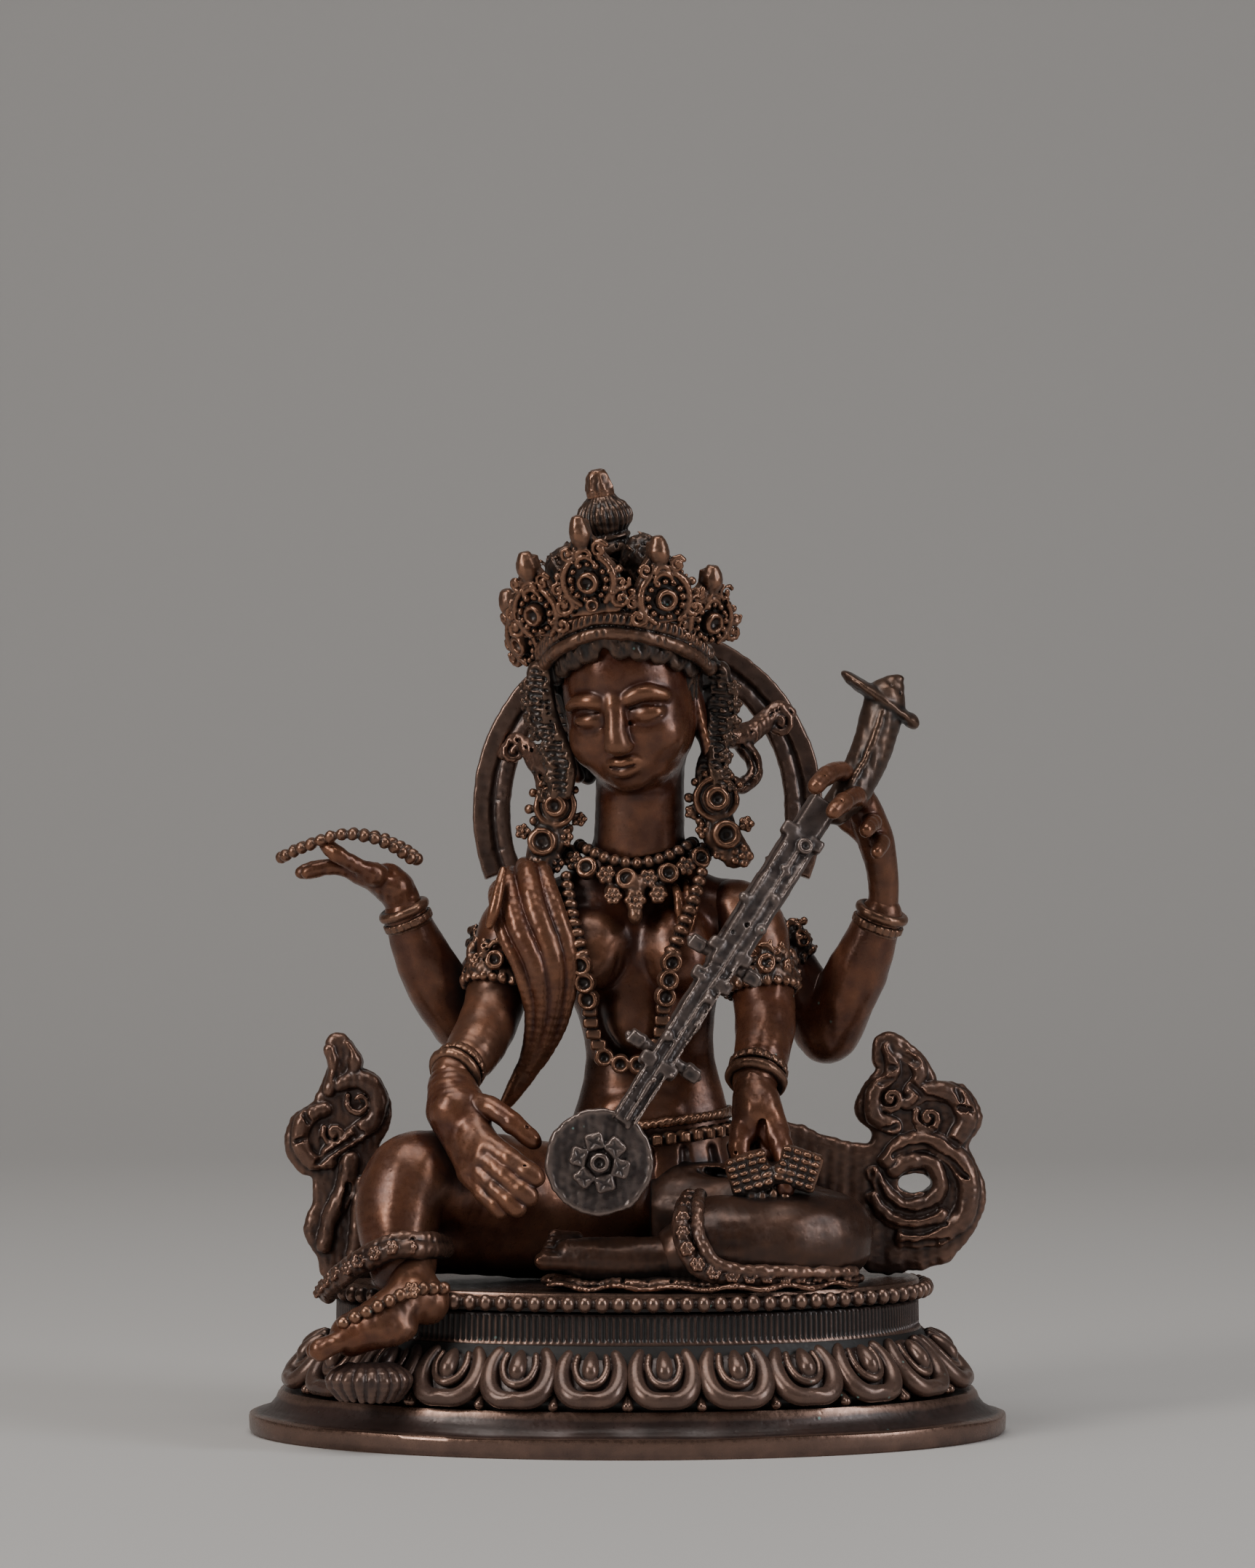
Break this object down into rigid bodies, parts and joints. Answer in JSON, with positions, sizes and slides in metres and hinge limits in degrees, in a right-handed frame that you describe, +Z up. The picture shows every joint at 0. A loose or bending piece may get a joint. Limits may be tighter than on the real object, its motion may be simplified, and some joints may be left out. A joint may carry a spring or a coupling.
{
  "type": "statuette",
  "caption": "Seated four-armed goddess statuette in patinated copper alloy, holding a long-necked lute, prayer beads and a book, on an oval lotus base with a closed flat underside",
  "frame": {"origin": "middle of the oval footprint, on the surface the statuette stands on", "axes": "+Z up, the figure faces -Y, the figure's own right hand is at -X"},
  "size_m": [0.104, 0.0676, 0.1317],
  "materials": {
    "base_copper": "dark brown patina with rubbed copper edges",
    "figure_copper": "brown patina, rubbed to bare copper on the high spots",
    "cloth_copper": "dark brown patina",
    "lute_copper": "grey-brown patina, brushed",
    "jewel_copper": "dark patina in the recesses, bright copper on the rims"
  },
  "bodies": {
    "root": {"base_plinth": "base_copper", "base_plate": "base_copper", "lotus_petals": "base_copper", "base_drum": "base_copper", "seat_slab": "base_copper", "bead_rim": "base_copper", "foot_lotus": "base_copper", "arm_front_left": "figure_copper", "arm_front_right": "figure_copper", "arm_rear_left": "figure_copper", "arm_rear_right": "figure_copper", "hand_front_left": "figure_copper", "hand_front_right": "figure_copper", "hand_rear_left": "figure_copper", "hand_rear_right": "figure_copper", "head": "figure_copper", "torso": "figure_copper", "foot_left": "figure_copper", "foot_right": "figure_copper", "leg_left": "figure_copper", "leg_right": "figure_copper", "scarf_arch": "cloth_copper", "scarf_flame_left": "cloth_copper", "scarf_flame_right": "cloth_copper", "shawl_right": "cloth_copper", "hem_left": "cloth_copper", "hem_right": "cloth_copper", "ribbon_scroll_left": "cloth_copper", "ribbon_scroll_right": "cloth_copper", "hair": "cloth_copper", "topknot": "cloth_copper", "veena_headstock": "lute_copper", "veena_neck": "lute_copper", "veena_peg_lower": "lute_copper", "veena_peg_upper": "lute_copper", "veena_rosette": "lute_copper", "veena_soundbox": "lute_copper", "anklet_right": "jewel_copper", "armlet_front_left": "jewel_copper", "armlet_front_right": "jewel_copper", "armlet_rear_left": "jewel_copper", "armlet_rear_right": "jewel_copper", "belt": "jewel_copper", "bracelet_front_left": "jewel_copper", "bracelet_front_right": "jewel_copper", "bracelet_rear_left": "jewel_copper", "bracelet_rear_right": "jewel_copper", "crown_band": "jewel_copper", "crown_leaf_1": "jewel_copper", "crown_leaf_2": "jewel_copper", "crown_leaf_3": "jewel_copper", "crown_leaf_4": "jewel_copper", "crown_leaf_5": "jewel_copper", "earring_left": "jewel_copper", "earring_right": "jewel_copper", "mala": "jewel_copper", "necklace_long": "jewel_copper", "necklace_short": "jewel_copper", "scripture": "jewel_copper", "topknot_jewel": "jewel_copper"}
  },
  "joints": []
}
